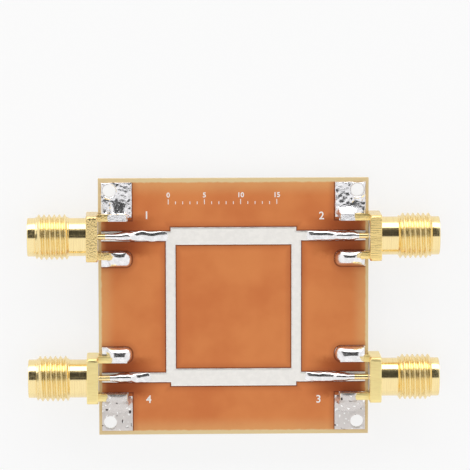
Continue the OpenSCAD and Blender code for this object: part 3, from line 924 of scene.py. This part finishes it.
# %% Eight joints
CORNER_SEED, SIDE_SEED = 40, 60
for count, port in enumerate(PORTS):
    outer = leg_joint(f"corner_joint_{port}", port, 1, CORNER_SEED + count, CORNER_JOINTS[port])
    settle(outer, None, "solder", f"corner_leg_solder_{port}")
    inner = leg_joint(f"side_joint_{port}", port, -1, SIDE_SEED + count, SIDE_JOINTS[port])
    settle(inner, None, "solder", f"side_leg_solder_{port}")
    print("leg joints at", port, "have", len(outer.data.polygons), "and", len(inner.data.polygons), "faces")

# %% [markdown]
# The pads under the inner legs have a round end towards the ring. Their foil is a flat
# sheet whose rim is rounded over, so it is cast in the same way, from heights that fall
# only at the rim.

# %% Side pads
RIM_DROP, SIDE_RIM, CORNER_RIM = 0.03, 0.12, 0.14
SIDE_ROWS, SIDE_COLUMNS = 60, 25


def side_pad(port):
    x = stations(*side_pad_x, SIDE_ROWS)
    half = (side_pad_y[1] - side_pad_y[0]) / 2 - round_off(x - x[0], pad_round) - round_off(x[-1] - x, 0.1)
    share = np.sin(np.linspace(-math.pi / 2, math.pi / 2, SIDE_COLUMNS))
    y = sum(side_pad_y) / 2 + half * share
    from_rim = np.minimum(np.minimum(half * (1 - abs(share)), x - x[0]), x[-1] - x)
    height = -RIM_DROP * (1 - np.sqrt(np.clip(from_rim / SIDE_RIM, 0, 1)))
    return cast(f"rounded_pad_{port}", port, x, y, height, tinned_foil, laminate_top)


for port in PORTS:
    pad = settle(side_pad(port), None, "tinned_copper", f"side_pad_{port}")
print("a side pad has", len(pad.data.polygons), "faces")

# %% [markdown]
# ## Corner pads
# Each corner pad is sewn to the ground plane by a dozen plated holes that filled with
# solder. On the two upper pads the iron left the solder in shallow pools, which mirror the
# room in black and white patches. The lower pads were only dipped and are dull, with a
# few sunken holes. Either is a height over the plane of the board: a rounded rim, slow
# waves for the pools, a dome or a dip at each filled hole and a few deep pits. A block with
# that top is cut to the pad's outline and drilled.

# %% Corner pads
VIA_COLUMNS, VIA_ROWS, VIA_R, VIA_MARGIN = 4, 4, 0.225, 0.12
DOME_WIDTH, PIT_WIDTH, PIT_DEPTH = 0.16, 0.07, 0.06
via_edge = VIA_R + VIA_MARGIN
vias = [(x, y) for x in np.linspace(corner_pad_x[0] + via_edge, corner_pad_x[1] - via_edge, VIA_COLUMNS)
        for y in np.linspace(leg_out + via_edge, corner_pad_y[1] - via_edge, VIA_ROWS)
        if math.hypot(x - hole_x, y - hole_y) > hole_r + via_edge]


def pad_height(x, y, seed, pool, dome, pits):
    """Height of the tin over the copper. Pits lists the places of small deep pits."""
    inside = np.minimum(np.minimum(x - corner_pad_x[0], corner_pad_x[1] - x),
                        np.minimum(y - corner_pad_y[0], corner_pad_y[1] - y))
    from_hole = np.hypot(x - hole_x, y - hole_y) - hole_r
    height = pool * (0.7 + waves(x, y, 1.2, seed) + 0.3 * waves(x, y, 0.4, seed + 1))
    height += pool * 0.8 * np.exp(-((from_hole - 0.16) / 0.12) ** 2)
    bumps = [(*via, dome * math.cos(2.4 * k + seed), DOME_WIDTH) for k, via in enumerate(vias)]
    for at_x, at_y, lift, width in bumps + [(*pit, -PIT_DEPTH, PIT_WIDTH) for pit in pits]:
        height += lift * np.exp(-((x - at_x) ** 2 + (y - at_y) ** 2) / (2 * width ** 2))
    rim = np.sqrt(np.clip(np.minimum(inside, from_hole) / CORNER_RIM, 0, 1))
    return np.maximum(height, 0.004 - PIT_DEPTH * bool(pits)) * rim - RIM_DROP * (1 - rim)


# %% Cutting a pad to its outline
PEG_STEPS, CORNER_COLUMNS, CORNER_ROWS = 64, 76, 96


def peg(name, x, y, radius):
    """An upright cylinder, taller than the board is thick."""
    angles = np.arange(PEG_STEPS) * (2 * math.pi / PEG_STEPS)
    rings = [[(x + radius * math.cos(a), y + radius * math.sin(a), z) for a in angles] for z in (0, 6)]
    return tidy(new_object(name, *net(np.array(rings), wrap_columns=True)))


def corner_pad(port, seed, pool, dome, pits, material):
    """A corner pad, drilled and with its inner corner stepped. Drawn at the upper right, then mirrored."""
    x = np.linspace(*corner_pad_x, CORNER_COLUMNS)
    rings = []
    for y in np.linspace(*corner_pad_y, CORNER_ROWS):
        top = copper_z + pad_height(x, np.full_like(x, y), seed, pool, dome, pits)
        rings.append([(a, y, z) for a, z in zip(x, top)]
                     + [(a, y, laminate_top) for a in (x[-1], corner_pad_x[0] + PAD_STEP_X, x[0])])
    pad = tidy(new_object(f"tinned_pad_{port}", *net(np.array(rings), wrap_columns=True), material))
    boolean(pad, "DIFFERENCE", peg("drill", hole_x, hole_y, hole_r))
    notch = bar("notch", (corner_pad_x[0] - 1, corner_pad_y[0] - 1, 0),
                (corner_pad_x[0] + PAD_STEP_X, corner_pad_y[0] + PAD_STEP_Y, 6), 0.02)
    boolean(pad, "DIFFERENCE", notch)
    work = np.array([v.co for v in pad.data.vertices])
    pad.data.vertices.foreach_set("co", at_port(work, port).ravel())
    return tidy(pad, sharp=60)


# %% Four corner pads
# For each port: seed, height of the pools, height of the domes, places of pits and finish
CORNER_PADS = {
    "in": (5, 0.09, 0.06, [], mottled_solder),
    "out1": (8, 0.13, 0.06, [], mottled_solder),
    "out2": (13, 0.008, 0.012, [(14.7, 13.9), (15.35, 13.85), (15.1, 14.7)], grey_solder),
    "load": (21, 0.008, 0.012, [(18.05, 13.7), (17.7, 14.3), (16.3, 14.65), (14.8, 14.55)], grey_solder)}
for port, shape in CORNER_PADS.items():
    settle(corner_pad(port, *shape), None, "tinned_copper", f"corner_pad_{port}")
print(len(vias), "filled holes in a corner pad")

# %% [markdown]
# ## Print
# White ink marks the ports and fills the strip over the ring. The ports are numbered, and
# the strip holds a plain millimetre scale. Blender's own text object gives the numerals,
# which are made a little bolder, turned to meshes a hair thick and laid on the laminate.

# %% Port numbers
INK_T, BOLDER, NUMBER_SIZE, MARK_SIZE = 0.012, 0.024, 1.5, 0.95


def numeral(name, text, x, y, size):
    """A printed number, centred on a place. Size is that of the font."""
    curve = bpy.data.curves.new(name, "FONT")
    curve.body, curve.size, curve.extrude = text, size * MM, INK_T / 2 * MM
    curve.align_x, curve.align_y, curve.offset = "CENTER", "CENTER", BOLDER * MM
    letter = bpy.data.objects.new(name, curve)
    mesh = bpy.data.meshes.new_from_object(letter)
    bpy.data.objects.remove(letter)
    piece = bpy.data.objects.new(name, mesh)
    piece.location = Vector((x, y, laminate_top + INK_T / 2)) * MM
    bpy.context.scene.collection.objects.link(piece)
    return settle(piece, ink_finish, "insulator")


PORT_NUMBERS = {"1": (-12.0, 12.75), "2": (12.2, 12.6), "3": (11.8, -13.1), "4": (-11.8, -13.0)}
for text, (x, y) in PORT_NUMBERS.items():
    numeral(f"port_number_{text}", text, x, y, NUMBER_SIZE)

# %% The scale
SCALE_FROM, SCALE_TO, SCALE_Y, NUMBER_ABOVE = -9, 6, 14.3, 1.25
TICK_HALF, LONG_TICK, SHORT_TICK, TICK_BEVEL = 0.05, 0.7, 0.4, 0.004
for mark in range(SCALE_FROM, SCALE_TO + 1):
    count = mark - SCALE_FROM
    long = count % 5 == 0
    tick_end = SCALE_Y + (LONG_TICK if long else SHORT_TICK)
    tick = bar(f"scale_tick_{count}", (mark - TICK_HALF, SCALE_Y, laminate_top - 0.005),
               (mark + TICK_HALF, tick_end, laminate_top + INK_T), TICK_BEVEL)
    settle(tick, ink_finish, "insulator")
    if long:
        numeral(f"scale_number_{count}", str(count), mark, SCALE_Y + NUMBER_ABOVE, MARK_SIZE)
print(len(PORT_NUMBERS), "port numbers and a scale of", SCALE_TO - SCALE_FROM, "mm")

# %% View transform
bpy.context.scene.view_settings.view_transform = "Standard"
